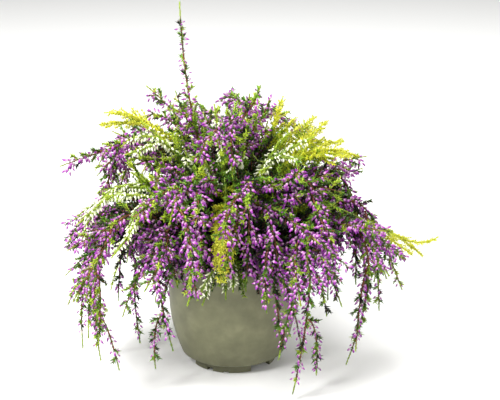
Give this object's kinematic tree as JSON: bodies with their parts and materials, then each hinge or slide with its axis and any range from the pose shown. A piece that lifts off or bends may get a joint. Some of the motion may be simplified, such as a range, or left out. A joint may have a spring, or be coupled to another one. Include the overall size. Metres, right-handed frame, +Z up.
{
  "type": "potted heather",
  "caption": "Bushy mixed heather with arching and trailing flower sprays, growing in peat in a round plastic pot on a notched foot.",
  "frame": {"origin": "on the floor, under the middle of the plant's outline seen from above, 13.5 mm right of and 1.8 mm in front of the pot's axis", "axes": "+Z up along the axis of the pot, +X to the right and -Y towards the viewer of the picture"},
  "size_m": [0.3419, 0.3313, 0.333],
  "materials": {
    "golden_spray": "golden yellow feathery leafy shoots, softly satin",
    "green_spray": "green leafy shoots, softly satin",
    "mauve_spray": "woody shoots with mauve to purple bud florets and small green leaves, softly satin",
    "pot": "matte olive-grey moulded plastic, a little mottled",
    "soil": "dark damp peat, matte",
    "white_spray": "yellow-green shoots with creamy white buds, softly satin"
  },
  "bodies": {
    "root": {"golden_spray_01": "golden_spray", "golden_spray_02": "golden_spray", "golden_spray_03": "golden_spray", "golden_spray_04": "golden_spray", "golden_spray_05": "golden_spray", "golden_spray_06": "golden_spray", "golden_spray_07": "golden_spray", "golden_spray_08": "golden_spray", "green_spray_01": "green_spray", "mauve_spray_01": "mauve_spray", "mauve_spray_02": "mauve_spray", "mauve_spray_03": "mauve_spray", "mauve_spray_04": "mauve_spray", "mauve_spray_05": "mauve_spray", "mauve_spray_06": "mauve_spray", "mauve_spray_07": "mauve_spray", "mauve_spray_08": "mauve_spray", "mauve_spray_09": "mauve_spray", "mauve_spray_10": "mauve_spray", "mauve_spray_11": "mauve_spray", "mauve_spray_12": "mauve_spray", "mauve_spray_13": "mauve_spray", "mauve_spray_14": "mauve_spray", "mauve_spray_15": "mauve_spray", "mauve_spray_16": "mauve_spray", "mauve_spray_17": "mauve_spray", "mauve_spray_18": "mauve_spray", "mauve_spray_19": "mauve_spray", "mauve_spray_20": "mauve_spray", "mauve_spray_21": "mauve_spray", "mauve_spray_22": "mauve_spray", "mauve_spray_23": "mauve_spray", "mauve_spray_24": "mauve_spray", "mauve_spray_25": "mauve_spray", "mauve_spray_26": "mauve_spray", "mauve_spray_27": "mauve_spray", "pot": "pot", "soil": "soil", "white_spray_01": "white_spray", "white_spray_02": "white_spray", "white_spray_03": "white_spray", "white_spray_04": "white_spray", "white_spray_05": "white_spray", "white_spray_06": "white_spray", "white_spray_07": "white_spray", "white_spray_08": "white_spray"}
  },
  "joints": []
}
